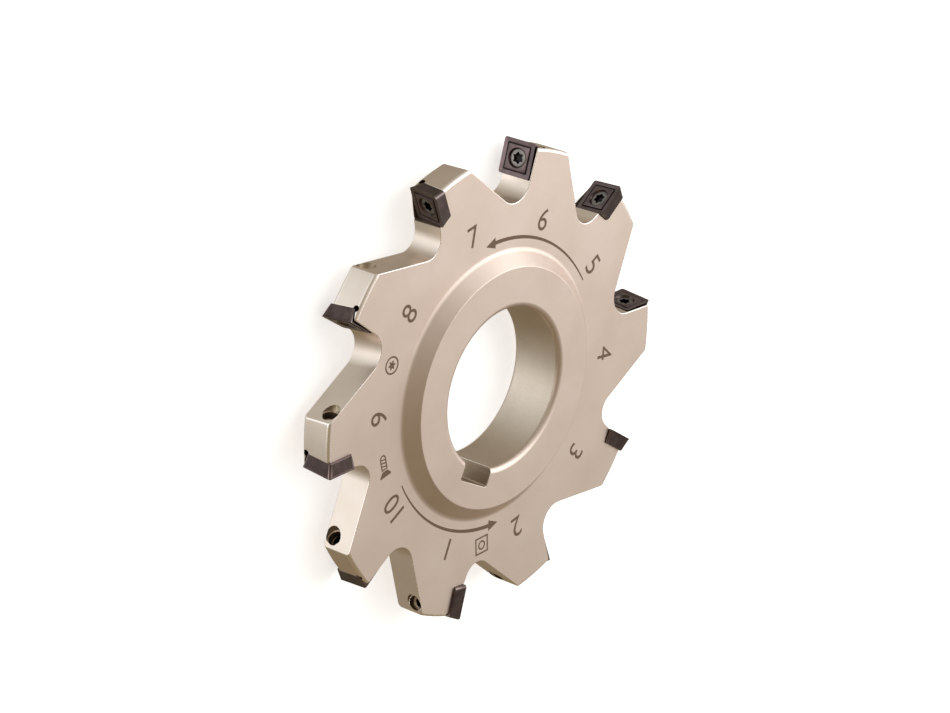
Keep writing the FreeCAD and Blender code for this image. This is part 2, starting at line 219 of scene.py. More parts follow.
def nose_frame(number):
    """Frame of insert number 0, 1, 2 and so on: its nose at the origin, local Z the way it cuts.

    The inserts face up and down in turn. Locally the insert reaches from its nose along -X and -Y.
    """
    rake = math.radians(AXIAL_RAKE)
    lean = math.radians(RADIAL_LEAN)
    turn = math.radians(FIRST_NOSE + PITCH * number)
    place = Vector((NOSE * math.cos(turn), NOSE * math.sin(turn), 0))
    if number % 2:
        place.z = -HALF_CUT
        turned = (Matrix.Rotation(-math.pi / 2, 4, "X") @ Matrix.Rotation(lean, 4, "Y")
                  @ Matrix.Rotation(rake, 4, "X"))
    else:
        place.z = HALF_CUT
        turned = (Matrix.Rotation(-math.radians(120), 4, Vector((1, 1, 1)))
                  @ Matrix.Rotation(-lean, 4, "X") @ Matrix.Rotation(-rake, 4, "Y"))
    return Matrix.Translation(place) @ Matrix.Rotation(turn, 4, "Z") @ turned


def lathe(section, steps, centre=(0, 0)):
    """Points and faces of a solid turned about local Z, closed flat at both ends of its section."""
    points = []
    for radius, height in section:
        for step in range(steps):
            turn = 2 * math.pi * step / steps
            points.append((centre[0] + radius * math.cos(turn),
                           centre[1] + radius * math.sin(turn), height))
    faces = loops_to_faces(len(section), steps, False)
    last = (len(section) - 1) * steps
    faces += [tuple(reversed(range(steps))), tuple(range(last, last + steps))]
    return points, faces


def face_outwards(piece):
    """Make all faces of a closed piece look outwards."""
    shape = bmesh.new()
    shape.from_mesh(piece.data)
    bmesh.ops.recalc_face_normals(shape, faces=shape.faces)
    shape.to_mesh(piece.data)
    shape.free()


def gather(name, shapes, material):
    """One object from several closed shapes that don't touch, each a frame with its points and
    faces. Cutting shapes and marks are made so."""
    points, faces = [], []
    for place, (own_points, own_faces) in shapes:
        first = len(points)
        points += [place @ Vector(point) for point in own_points]
        faces += [tuple(first + number for number in face) for face in own_faces]
    piece = mesh_object(name, points, faces, [material])
    face_outwards(piece)
    return piece


def apply_modifiers(piece):
    """Keep what the modifiers of a piece make of its mesh, and take the modifiers away."""
    graph = bpy.context.evaluated_depsgraph_get()
    made = bpy.data.meshes.new_from_object(piece.evaluated_get(graph), depsgraph=graph)
    piece.modifiers.clear()
    piece.data = made


def cut_away(piece, tool):
    """Cut a shape from a piece. The new walls take the material of the cutting shape."""
    cut = piece.modifiers.new("cut", "BOOLEAN")
    cut.operation = "DIFFERENCE"
    cut.solver = "EXACT"
    cut.material_mode = "TRANSFER"
    cut.object = tool
    apply_modifiers(piece)
    bpy.data.objects.remove(tool)


def join_flats(piece):
    """Weld points that a cut leaves on one spot, and join faces in one level or upright plane."""
    one_spot = 0.002
    level_slope = 0.9999
    upright_slope = 0.0001
    shape = bmesh.new()
    shape.from_mesh(piece.data)
    bmesh.ops.remove_doubles(shape, verts=shape.verts, dist=one_spot)
    inside = []
    for edge in shape.edges:
        slopes = [abs(face.normal.z) for face in edge.link_faces]
        if min(slopes) > level_slope or max(slopes) < upright_slope:
            inside.append(edge)
    bmesh.ops.dissolve_limit(shape, angle_limit=math.radians(0.2), verts=shape.verts, edges=inside,
                             delimit={"MATERIAL"})
    shape.to_mesh(piece.data)
    shape.free()


def break_edges(piece, sharper_than, width_of):
    """Round the sharp edges to widths in millimetres, which shrink where a face beside is narrow.

    An edge that has room for less than 0.4 of its width stays sharp.
    """
    widest = 0.3
    share_of_face = 0.45
    least_turn = 0.1
    corner_turn = math.radians(35)
    least_share = 0.4
    sharp = math.radians(sharper_than)
    shape = bmesh.new()
    shape.from_mesh(piece.data)
    weight = shape.edges.layers.float.new("bevel_weight_edge")
    for edge in shape.edges:
        if edge.calc_face_angle() < sharp:
            continue
        width = width_of(edge)
        if width == 0:
            continue
        for vertex in edge.verts:
            ahead = vertex.co - edge.other_vert(vertex).co
            for beside in vertex.link_edges:
                if beside is edge:
                    continue
                aside = beside.other_vert(vertex).co - vertex.co
                turn = ahead.angle(aside)
                room = share_of_face * aside.length
                if beside.calc_face_angle() < sharp:
                    width = min(width, room * math.sin(max(least_turn, min(turn, math.pi / 2))))
                elif turn > corner_turn:
                    width = min(width, room)
        if width > least_share * width_of(edge):
            edge[weight] = width / widest
    shape.to_mesh(piece.data)
    shape.free()
    rounding = piece.modifiers.new("rounding", "BEVEL")
    rounding.width = widest
    rounding.material = EDGE
    rounding.segments = 3
    rounding.limit_method = "WEIGHT"
    rounding.use_clamp_overlap = False
    apply_modifiers(piece)
    piece.data.attributes.remove(piece.data.attributes["bevel_weight_edge"])


def on_disc_face(edge):
    """Whether an edge lies in one of the two flat faces of the disc."""
    return all(abs(abs(vertex.co.z) - HALF_DISC) < 0.001 for vertex in edge.verts)


def tumbled_width(edge):
    """Tumbling and blasting round the tips of the teeth and the outline of the two flat faces
    more than the edges of the bore and the keyway."""
    outer_width, inner_width = 0.15, 0.07
    near_rim = all(vertex.co.xy.length > LAND - RIM_ROUND - 0.01 for vertex in edge.verts)
    upright = min(abs(face.normal.z) for face in edge.link_faces) < 0.1
    return outer_width if upright and (on_disc_face(edge) or near_rim) else inner_width


def seat_edge_width(edge):
    """The seats are milled last, so their long edges are sharper. The edges at their roots, the
    short ones and those of all else stay as they are."""
    face_width, inner_width = 0.12, 0.045
    root_radius, least_length = 34.7, 0.35
    finishes = [face.material_index for face in edge.link_faces]
    of_seat = SEAT in finishes and TAPPED not in finishes
    root = min(vertex.co.xy.length for vertex in edge.verts) < root_radius
    if not of_seat or root or edge.calc_length() < least_length:
        return 0
    return face_width if on_disc_face(edge) else inner_width


def finish_mesh(piece, sharp_angle):
    """Turn millimetres to metres and shade the piece smooth up to an angle."""
    piece.data.transform(Matrix.Scale(0.001, 4))
    piece.data.shade_smooth()
    piece.data.set_sharp_from_angle(angle=math.radians(sharp_angle))
    even = piece.modifiers.new("even_shading", "WEIGHTED_NORMAL")
    even.keep_sharp = True
    apply_modifiers(piece)


def linear(hex_colour):
    """Linear red, green, blue and alpha of an sRGB hex colour."""
    parts = [int(hex_colour[place:place + 2], 16) / 255 for place in (1, 3, 5)]
    return [part / 12.92 if part <= 0.04045 else ((part + 0.055) / 1.055) ** 2.4
            for part in parts] + [1]


def add_node(owner, kind, inputs=(), **settings):
    """Add one node to a material or world, with its settings by name, and inputs that are values
    or the sockets to link."""
    tree = owner.node_tree
    node = tree.nodes.new(kind)
    for name, setting in settings.items():
        setattr(node, name, setting)
    for name, content in dict(inputs).items():
        if isinstance(content, bpy.types.NodeSocket):
            tree.links.new(content, node.inputs[name])
        else:
            node.inputs[name].default_value = content
    return node


def blasted_nickel_plate(name, light, dark, roughness, grain_depth, lay=(1, 1, 1)):
    """Nickel plate over steel blasted with fine glass beads: metal with a soft, even, warm sheen.

    The bead marks are about 0.05 mm, too fine to show, so they are drawn 0.2 mm wide. A lay below
    1 on one axis stretches them along it, as the tool's own scores show through the blasting.
    """
    bead_mark = 0.2
    cloud = 9.0
    material = bpy.data.materials.new(name)
    material.use_nodes = True
    shader = material.node_tree.nodes["Principled BSDF"]
    place = add_node(material, "ShaderNodeTexCoord").outputs["Object"]
    clouds = add_node(material, "ShaderNodeTexNoise",
                      {"Vector": place, "Scale": 1000 / cloud, "Detail": 3.0})
    drawn_out = add_node(material, "ShaderNodeMapping", {"Vector": place, "Scale": lay})
    beads = add_node(material, "ShaderNodeTexNoise",
                     {"Vector": drawn_out.outputs["Vector"], "Scale": 1000 / bead_mark,
                      "Detail": 2.0})
    tone = add_node(material, "ShaderNodeValToRGB", {"Fac": clouds.outputs["Fac"]})
    tone.color_ramp.elements[0].position = 0.3
    tone.color_ramp.elements[0].color = linear(dark)
    tone.color_ramp.elements[1].position = 0.7
    tone.color_ramp.elements[1].color = linear(light)
    sheen = add_node(material, "ShaderNodeMapRange",
                     {"Value": beads.outputs["Fac"], "From Min": 0.3, "From Max": 0.7,
                      "To Min": roughness - 0.05, "To Max": roughness + 0.05})
    bump = add_node(material, "ShaderNodeBump",
                    {"Height": beads.outputs["Fac"], "Strength": grain_depth, "Distance": 0.00002})
    shader.inputs["Metallic"].default_value = 1.0
    material.node_tree.links.new(tone.outputs["Color"], shader.inputs["Base Color"])
    material.node_tree.links.new(sheen.outputs["Result"], shader.inputs["Roughness"])
    material.node_tree.links.new(bump.outputs["Normal"], shader.inputs["Normal"])
    return material


# The paler tumbled edges are a painted highlight, and the darker bore, keyway, seats, holes and
# threads are painted shade. The broach leaves long scores along the keyway.
faced_nickel = blasted_nickel_plate("blasted_nickel_plate_on_faced_steel",
                                    "#DCCBBE", "#D4C2B4", roughness=0.45, grain_depth=0.35)
milled_nickel = blasted_nickel_plate("blasted_nickel_plate_on_milled_steel",
                                     "#E2D3C5", "#D7C7B7", roughness=0.38, grain_depth=0.3)
# Darker than the open faces, as painted shade in the bore
bored_nickel_painted_shade = blasted_nickel_plate("nickel_plate_in_the_bore_painted_shade",
                                    "#D2C3B2", "#C6B7A5", roughness=0.46, grain_depth=0.3,
                                    lay=(1, 1, 0.3))
# Dark brown as painted shade in the keyway; the long scores are the broach's own
broached_nickel_painted_shade = blasted_nickel_plate("nickel_plate_on_broached_steel_painted_shade",
                                       "#BBA993", "#957F68", roughness=0.4, grain_depth=1.0,
                                       lay=(0.5, 0.5, 0.02))
# Paler than the open faces, as a painted highlight on the rounded edges
edge_nickel_painted_highlight = blasted_nickel_plate("nickel_plate_on_tumbled_edges_painted_highlight",
                                   "#F4E9DF", "#EADDD0", roughness=0.26, grain_depth=0.15)
# Darker than the open faces, as painted shade in the seats and reliefs
seat_nickel_painted_shade = blasted_nickel_plate("nickel_plate_in_milled_seats_painted_shade",
                                   "#8F806E", "#7C6E5E", roughness=0.4, grain_depth=0.3)
# Darker than the open faces, as painted shade in the holes
drilled_nickel_painted_shade = blasted_nickel_plate("nickel_plate_in_drilled_holes_painted_shade",
                                      "#B5A48F", "#99886F", roughness=0.42, grain_depth=0.3)
# Near black, as painted shade in the threads
tapped_nickel_painted_shade = blasted_nickel_plate("nickel_plate_in_tapped_holes_painted_shade",
                                     "#453D35", "#2C2621", roughness=0.45, grain_depth=0.3)

cutter_body = turned_blank([faced_nickel, milled_nickel, bored_nickel_painted_shade, edge_nickel_painted_highlight])
cutter_body.name = "milled_cutter_body"

# A gullet is given by its middle, its radius and the lean of the wall ahead of its insert. Those
# of the inserts that face down are a little wider, and slant forward towards the lower face.
UP_GULLET = ((NOSE - 6.6, 3.75), 3.0, 15.5)
DOWN_GULLET = ((NOSE - 6.0, 3.3), 3.6, 8.0)
GULLET_SLANT = 0.09
slanted = Matrix.Identity(4)
slanted[1][2] = -GULLET_SLANT
slanted[1][3] = GULLET_SLANT * HALF_DISC
gullets = []
for tooth in range(TEETH):
    turned = Matrix.Rotation(math.radians(FIRST_NOSE + PITCH * tooth), 4, "Z")
    if tooth % 2:
        gullets.append((turned @ slanted, prism(gullet_outline(*DOWN_GULLET), -FAR, FAR)))
    else:
        gullets.append((turned, prism(gullet_outline(*UP_GULLET), -FAR, FAR)))
cut_away(cutter_body, gather("gullet_mill", gullets, milled_nickel))

# The keyway opens downwards in the picture, and the broach starts inside the bore
KEYWAY_HALF = 3.5
KEYWAY_FLOOR = -16.3
KEYWAY_ROUND = 0.4
BROACH_START = -6.0
top_left, top_right = (-KEYWAY_HALF, BROACH_START), (KEYWAY_HALF, BROACH_START)
floor_left, floor_right = (-KEYWAY_HALF, KEYWAY_FLOOR), (KEYWAY_HALF, KEYWAY_FLOOR)
slot = [top_left]
slot += rounded_corner(top_left, floor_left, floor_right, KEYWAY_ROUND, steps=5)
slot += rounded_corner(floor_left, floor_right, top_right, KEYWAY_ROUND, steps=5)
slot += [top_right]
cut_away(cutter_body, gather("key_broach", [(Matrix(), prism(slot, -FAR, FAR))], broached_nickel_painted_shade))
join_flats(cutter_body)
break_edges(cutter_body, sharper_than=32, width_of=tumbled_width)

# A seat is open towards the nose. Its two walls stand off the insert's flanks, the one at the
# root closer than the one at the side, and a round relief runs along the side wall's foot.
INSERT_EDGE = 6.0
INSERT_THICK = 2.38
CLEARANCE = math.tan(math.radians(11))
INSERT_FOOT = INSERT_THICK * CLEARANCE - INSERT_EDGE
ROOT_GAP = 0.07
SIDE_GAP = 0.2
ROOT_WALL = INSERT_FOOT - ROOT_GAP
SIDE_WALL = INSERT_FOOT - SIDE_GAP
RELIEF_RADIUS = 0.55
OPEN = 3.0


def seat_shape(left, near):
    """Pocket of one insert in its nose frame: level seat, two walls that lean as its flanks do."""
    above = 1.5
    wider = (INSERT_THICK + above) * CLEARANCE
    low = box_points(left, near, OPEN, OPEN)
    high = box_points(left - wider, near - wider, OPEN, OPEN)
    points = [(x, y, -INSERT_THICK) for x, y in low] + [(x, y, above) for x, y in high]
    faces = loops_to_faces(2, 4, False) + [(3, 2, 1, 0), (4, 5, 6, 7)]
    return points, faces


seats = []
reliefs = []
for tooth in range(TEETH):
    rod = lathe([(RELIEF_RADIUS, 0), (RELIEF_RADIUS, OPEN - ROOT_WALL)], steps=20)
    if tooth % 2:
        left, near = ROOT_WALL, SIDE_WALL
        lie = Matrix.Rotation(math.pi / 2, 4, "Y")
    else:
        left, near = SIDE_WALL, ROOT_WALL
        lie = Matrix.Rotation(-math.pi / 2, 4, "X")
    seats.append((nose_frame(tooth), seat_shape(left, near)))
    reliefs.append((nose_frame(tooth) @ Matrix.Translation((left, near, -INSERT_THICK)) @ lie, rod))
cut_away(cutter_body, gather("seat_mill", seats, seat_nickel_painted_shade))
cut_away(cutter_body, gather("relief_mill", reliefs, seat_nickel_painted_shade))

# Radii and heights, from the rake face, of what is cut from the back of a tooth: a counterbore,
# the bright step at its floor, and the drill ahead of the thread. They stand a little beside the
# screw's axis, towards the far face and the rim.
COUNTERBORE = ((1.46, -9.25), (1.48, -9.28), (1.48, -16))
STEP = ((1.42, -9.19), (1.42, -9.4))
RELIEF_DRILL = ((0.9, -7.8), (1.28, -8.0), (1.28, -9.4))
TO_FAR_FACE = 0.15
TO_RIM = 0.2

# The M2 thread, from behind the seat to the drill
THREAD_CREST = 1.03
THREAD_GROOVE = 1.13
THREAD_PITCH = 0.4
THREAD_END = -8.0


def tooth_holes(section, steps, to_far_face=0, to_rim=0):
    """One turned cutting shape on the screw's axis in each tooth, or a little beside the axis."""
    holes = []
    for tooth in range(TEETH):
        axis = Vector((-INSERT_EDGE / 2, -INSERT_EDGE / 2))
        axis[tooth % 2] -= to_far_face
        axis[1 - tooth % 2] += to_rim
        holes.append((nose_frame(tooth), lathe(section, steps, axis)))
    return holes


for name, cutting, finish in (("counterbore_drill", COUNTERBORE, drilled_nickel_painted_shade),
                              ("step_mill", STEP, milled_nickel),
                              ("relief_drill", RELIEF_DRILL, drilled_nickel_painted_shade)):
    cut_away(cutter_body, gather(name, tooth_holes(cutting, 40, TO_FAR_FACE, TO_RIM), finish))
thread = [(THREAD_CREST, -1.0)]
turn_start = -1.2
while turn_start > THREAD_END:
    thread += [(THREAD_CREST, turn_start), (THREAD_GROOVE, turn_start - THREAD_PITCH / 2)]
    turn_start -= THREAD_PITCH
thread += [(THREAD_CREST, turn_start)]
cut_away(cutter_body, gather("screw_tap", tooth_holes(thread, 32), tapped_nickel_painted_shade))
TAPPED = cutter_body.data.materials.find(tapped_nickel_painted_shade.name)
SEAT = cutter_body.data.materials.find(seat_nickel_painted_shade.name)
join_flats(cutter_body)
break_edges(cutter_body, sharper_than=36, width_of=seat_edge_width)
finish_mesh(cutter_body, sharp_angle=60)
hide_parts("cutter_body")
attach(cutter_body, "root")


# The inserts
# Ten square indexable inserts of cemented carbide, pressed, sintered, ground on their flanks and
# coated by vapour deposition. Each has a chip groove round its countersunk hole.
SIDE_POINTS = 24
NOSE_POINTS = SIDE_POINTS // 3
GROOVE_FOOT = 0.2
HOLE = 1.125

# Rings of faces of the insert, counted from its seat
FLANK_RINGS = (2, 3, 4, 5)
GROOVE_RINGS = (8, 9, 10)
HOLE_RINGS = (13, 14, 15)


def square_loop(half, corner, height):
    """Loop of a rounded square about the hole, with the same number of points whatever its size."""
    points = []
    for quarter in range(4):
        turned = Matrix.Rotation(quarter * math.pi / 2, 2)
        flat = half - corner
        for step in range(NOSE_POINTS):
            turn = math.pi / 2 * step / NOSE_POINTS
            points.append(turned @ Vector((flat + corner * math.cos(turn),
                                           flat + corner * math.sin(turn))))
        for step in range(SIDE_POINTS - NOSE_POINTS):
            along = step / (SIDE_POINTS - NOSE_POINTS)
            points.append(turned @ Vector((flat * (1 - 2 * along), half)))
    return [(x, y, height) for x, y in points]


def round_loop(radius, height):
    """Loop of a circle about the hole. Its points have the bearings of those of a square loop."""
    points = []
    for x, y, level in square_loop(1, 0.3, 0):
        along = Vector((x, y)).normalized()
        points.append((radius * along.x, radius * along.y, height))
    return points


def carbide_insert(name, frame_of_nose, materials):
    """One insert: seat, leaning flanks, honed edge, sloping land, chip groove, plateau and hole.

    Its loops run from the seat up the flanks, over the rake face and down the hole. Each has a
    half width and corner radius, or a radius, and a height from the rake face.
    """
    half = INSERT_EDGE / 2
    foot = half - INSERT_THICK * CLEARANCE
    below_edge = 0.3
    loops = [
        round_loop(1.16, -INSERT_THICK),
        square_loop(foot - 0.06, 0.34, -INSERT_THICK),
        square_loop(foot, 0.4, 0.06 - INSERT_THICK),
        square_loop(half - below_edge * CLEARANCE - 0.012, 0.4, -below_edge - 0.02),
        square_loop(half - below_edge * CLEARANCE, 0.4, -below_edge),
        square_loop(half - 0.02 * CLEARANCE, 0.4, -0.02),
        square_loop(half - 0.02, 0.39, 0),
        square_loop(half - 0.12, 0.34, -0.004),
        square_loop(half - 0.70, 0.2, -0.09),
        square_loop(half - 0.76, 0.17, -GROOVE_FOOT),
        square_loop(half - 0.86, 0.15, -GROOVE_FOOT),
        square_loop(half - 0.96, 0.14, -0.02),
        square_loop(half - 1.02, 0.12, -0.001),
        round_loop(1.70, -0.001),
        round_loop(1.62, -0.04),
        round_loop(HOLE, -0.913),
        round_loop(HOLE, 0.05 - INSERT_THICK),
    ]
    points = [Vector((x - half, y - half, z)) for loop in loops for x, y, z in loop]
    faces = loops_to_faces(len(loops), 4 * SIDE_POINTS, True)
    insert = mesh_object(name, [frame_of_nose @ point for point in points], faces, materials)
    face_outwards(insert)
    rake, flank, groove, nose = range(4)
    for number, face in enumerate(insert.data.polygons):
        ring = number // (4 * SIDE_POINTS)
        # The noses take the coating painted pale as a painted highlight
        if ring in FLANK_RINGS and number % SIDE_POINTS < NOSE_POINTS:
            face.material_index = nose
        # The groove's faces take the coating painted dark as painted shade
        elif ring in GROOVE_RINGS:
            face.material_index = groove
        # The hole's rings take the darker flank coating as painted shade
        else:
            face.material_index = flank if ring in FLANK_RINGS + HOLE_RINGS else rake
    finish_mesh(insert, sharp_angle=25)
    return insert


def coated_carbide(name, light, dark, roughness):
    """Cemented carbide under a thin nitride coating: dark plum, with a fine grain and a dull gleam.

    The carbide grain is about 1 micrometre and the coating's droplets 20. They are drawn 0.12 mm
    wide so that they show.
    """
    droplet = 0.12
    stain = 1.6
    material = bpy.data.materials.new(name)
    material.use_nodes = True
    shader = material.node_tree.nodes["Principled BSDF"]
    place = add_node(material, "ShaderNodeTexCoord").outputs["Object"]
    stains = add_node(material, "ShaderNodeTexNoise",
                      {"Vector": place, "Scale": 1000 / stain, "Detail": 4.0})
    droplets = add_node(material, "ShaderNodeTexNoise",
                        {"Vector": place, "Scale": 1000 / droplet, "Detail": 3.0})
    tone = add_node(material, "ShaderNodeValToRGB", {"Fac": stains.outputs["Fac"]})
    tone.color_ramp.elements[0].position = 0.35
    tone.color_ramp.elements[0].color = linear(dark)
    tone.color_ramp.elements[1].position = 0.65
    tone.color_ramp.elements[1].color = linear(light)
    gleam = add_node(material, "ShaderNodeMapRange",
                     {"Value": droplets.outputs["Fac"], "From Min": 0.3, "From Max": 0.7,
                      "To Min": roughness - 0.08, "To Max": roughness + 0.08})
    bump = add_node(material, "ShaderNodeBump",
                    {"Height": droplets.outputs["Fac"], "Strength": 0.35, "Distance": 0.00002})
    shader.inputs["Metallic"].default_value = 1.0
    material.node_tree.links.new(tone.outputs["Color"], shader.inputs["Base Color"])
    material.node_tree.links.new(gleam.outputs["Result"], shader.inputs["Roughness"])
    material.node_tree.links.new(bump.outputs["Normal"], shader.inputs["Normal"])
    return material


# The coating is dull on the sintered rake face and gleams on the ground flanks and noses.
# The groove is painted dark as painted shade, and the noses pale as a painted highlight.
rake_coating = coated_carbide("aluminium_titanium_nitride_on_sintered_carbide",
                              "#6A5C5B", "#5A4D4C", roughness=0.28)
flank_coating = coated_carbide("aluminium_titanium_nitride_on_ground_carbide",
                               "#584A46", "#483C39", roughness=0.22)
groove_coating_painted_shade = coated_carbide("aluminium_titanium_nitride_in_the_pressed_groove",
                                "#3C3132", "#2B2324", roughness=0.35)
nose_coating_painted_highlight = coated_carbide("aluminium_titanium_nitride_on_the_ground_nose",
                              "#7A6C68", "#685A56", roughness=0.1)
for tooth in range(TEETH):
    insert = carbide_insert("carbide_insert_%02d" % (tooth + 1), nose_frame(tooth),
                            [rake_coating, flank_coating, groove_coating_painted_shade, nose_coating_painted_highlight])
    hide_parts("insert_%02d" % (tooth + 1))
    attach(insert, "root")


# The clamp screws
# Ten M2 countersunk screws of alloy steel, cold headed, thread rolled and blackened in a hot
# salt bath. A six-lobe key turns them.
HEAD_DROP = 0.3
HEAD_RADIUS = 1.45
SCREW_CREST = 0.99
SCREW_ROOT = 0.83
SCREW_TIP = -4.28
SCREW_POINTS = 96
RECESS_RINGS = 4


def lobe_loop(outer, inner, height):
    """Six-lobe outline: rounded lobes that reach outer, with wider hollows at inner."""
    narrowing = 1.3
    points = []
    for step in range(SCREW_POINTS):
        turn = 2 * math.pi * step / SCREW_POINTS
        wave = 0.5 + 0.5 * math.cos(6 * turn)
        radius = inner + (outer - inner) * wave ** narrowing
        points.append((radius * math.cos(turn), radius * math.sin(turn), height))
    return points


def circle_loop(radius, height):
    return lobe_loop(radius, radius, height)


def clamp_screw(name, frame_of_nose, turn, materials):
    """One screw: key recess, head rim, cone and rolled thread, turned to its own angle.

    Its loops run from the floor of the recess over the head and down to the tip.
    """
    top = -HEAD_DROP
    loops = [
        circle_loop(0.02, top - 0.72),
        lobe_loop(0.72, 0.5, top - 0.6),
        lobe_loop(0.9, 0.66, top - 0.56),
        lobe_loop(0.92, 0.67, top - 0.08),
        lobe_loop(1.0, 0.76, top - 0.02),
        circle_loop(1.1, top),
        circle_loop(1.36, top),
        circle_loop(1.43, top - 0.03),
        circle_loop(HEAD_RADIUS, top - 0.08),
        circle_loop(HEAD_RADIUS, top - 0.12),
        circle_loop(0.95, top - 0.92),
    ]
    height = top - 1.2
    while height > -3.8:
        loops.append(circle_loop(SCREW_CREST, height))
        loops.append(circle_loop(SCREW_ROOT, height - THREAD_PITCH / 2))
        height -= THREAD_PITCH
    loops += [circle_loop(0.95, -4.05), circle_loop(0.78, SCREW_TIP), circle_loop(0.02, SCREW_TIP)]
    half = INSERT_EDGE / 2
    spin = Matrix.Rotation(turn, 4, "Z")
    points = []
    for loop in loops:
        for point in loop:
            points.append(frame_of_nose @ (spin @ Vector(point) - Vector((half, half, 0))))
    faces = loops_to_faces(len(loops), SCREW_POINTS, False)
    last = (len(loops) - 1) * SCREW_POINTS
    faces += [tuple(range(SCREW_POINTS)), tuple(range(last, last + SCREW_POINTS))]
    screw = mesh_object(name, points, faces, materials)
    face_outwards(screw)
    for number, face in enumerate(screw.data.polygons):
        face.material_index = 1 if number // SCREW_POINTS < RECESS_RINGS else 0
    finish_mesh(screw, sharp_angle=30)
    return screw


def blackened_steel(name, light, dark, roughness):
    """Alloy steel under black oxide: near black and oily, mottled between two tones.

    The oxide's mottling is about 0.1 mm across and is drawn at that size.
    """
    mottle = 0.1
    material = bpy.data.materials.new(name)
    material.use_nodes = True
    shader = material.node_tree.nodes["Principled BSDF"]
    place = add_node(material, "ShaderNodeTexCoord").outputs["Object"]
    mottling = add_node(material, "ShaderNodeTexNoise",
                        {"Vector": place, "Scale": 1000 / mottle, "Detail": 4.0,
                         "Roughness": 0.6})
    tone = add_node(material, "ShaderNodeValToRGB", {"Fac": mottling.outputs["Fac"]})
    tone.color_ramp.elements[0].position = 0.35
    tone.color_ramp.elements[0].color = linear(dark)
    tone.color_ramp.elements[1].position = 0.68
    tone.color_ramp.elements[1].color = linear(light)
    bump = add_node(material, "ShaderNodeBump",
                    {"Height": mottling.outputs["Fac"], "Strength": 0.5, "Distance": 0.00002})
    shader.inputs["Metallic"].default_value = 0.9
    shader.inputs["Roughness"].default_value = roughness
    material.node_tree.links.new(tone.outputs["Color"], shader.inputs["Base Color"])
    material.node_tree.links.new(bump.outputs["Normal"], shader.inputs["Normal"])
    return material


# Grey on the head is painted sheen on black oxide; the recess is oxide black with painted shade
head_oxide_painted_sheen = blackened_steel("black_oxide_on_headed_steel_painted_sheen",
                             "#8B8681", "#5E5A55", roughness=0.3)
recess_oxide_and_painted_shade = blackened_steel("black_oxide_and_painted_shade_in_the_key_recess",
                               "#2E2B29", "#171514", roughness=0.22)

# Each screw stops at its own angle, here in radians, when it is tight
SCREW_TURNS = (0.10, 0.72, 0.35, 0.91, 0.52, 0.20, 0.81, 0.44, 0.63, 0.02)
for tooth in range(TEETH):
    screw = clamp_screw("clamp_screw_%02d" % (tooth + 1), nose_frame(tooth), SCREW_TURNS[tooth],
                        [head_oxide_painted_sheen, recess_oxide_and_painted_shade])
    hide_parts("insert_screws")
    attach(screw, "root")


# The laser marks
# Tooth numbers, two turning arrows and small signs for the insert, its screw and its key, burnt
# into the marked face by a laser. The burn leaves a brown oxide that stands 0.01 mm proud.
MARK_RADIUS = 27.7
BURN = 0.01

# A number stands 11 degrees behind the nose of its insert. Arrows run from two bearings, in degrees
NUMBER_SIZE = 5.3
NUMBER_LAG = 11
ARROW_RADIUS = 24.75
ARROW_SWEEP = 62
ARROW_STARTS = (57, 233)


def laser_burn():
    """Steel oxidised by a laser: dull brown, speckled, and streaked by the passes of the beam.

    The passes are about 0.05 mm apart, too fine to show, and are drawn 0.3 mm apart. A wave
    node draws one band for each tenth of pi of its scaled place.
    """
    band = math.pi / 10
    hatch = 0.296
    speck = 0.4
    material = bpy.data.materials.new("laser_burnt_steel")
    material.use_nodes = True
    shader = material.node_tree.nodes["Principled BSDF"]
    place = add_node(material, "ShaderNodeTexCoord").outputs["Object"]
    passes = add_node(material, "ShaderNodeTexWave",
                      {"Vector": place, "Scale": 1000 * band / hatch, "Distortion": 1.5,
                       "Detail": 2.0})
    speckle = add_node(material, "ShaderNodeTexNoise",
                       {"Vector": place, "Scale": 1000 / speck, "Detail": 3.0})
    streaks = add_node(material, "ShaderNodeMath",
                       {0: passes.outputs["Fac"], 1: speckle.outputs["Fac"]}, operation="MULTIPLY")
    tone = add_node(material, "ShaderNodeValToRGB", {"Fac": streaks.outputs["Value"]})
    tone.color_ramp.elements[0].color = linear("#6A523F")
    tone.color_ramp.elements[1].position = 0.6
    tone.color_ramp.elements[1].color = linear("#8C745F")
    bump = add_node(material, "ShaderNodeBump",
                    {"Height": streaks.outputs["Value"], "Strength": 0.4, "Distance": 0.00002})
    shader.inputs["Metallic"].default_value = 0.4
    shader.inputs["Roughness"].default_value = 0.65
    material.node_tree.links.new(tone.outputs["Color"], shader.inputs["Base Color"])
    material.node_tree.links.new(bump.outputs["Normal"], shader.inputs["Normal"])
    return material


burnt = laser_burn()


def on_the_face(turn, radius=MARK_RADIUS):
    """Frame of a mark at a bearing and radius: X runs clockwise and Y outwards."""
    return (Matrix.Rotation(math.radians(turn), 4, "Z") @ Matrix.Translation((radius, 0, HALF_DISC))
            @ Matrix.Rotation(-math.pi / 2, 4, "Z"))


def place_mark(mark, name):
    """Give a mark its name, finish and ride, and turn millimetres to metres."""
    mark.name = name
    mark.data.transform(Matrix.Scale(0.001, 4))
    mark.data.materials.clear()
    mark.data.materials.append(burnt)
    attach(mark, "root")


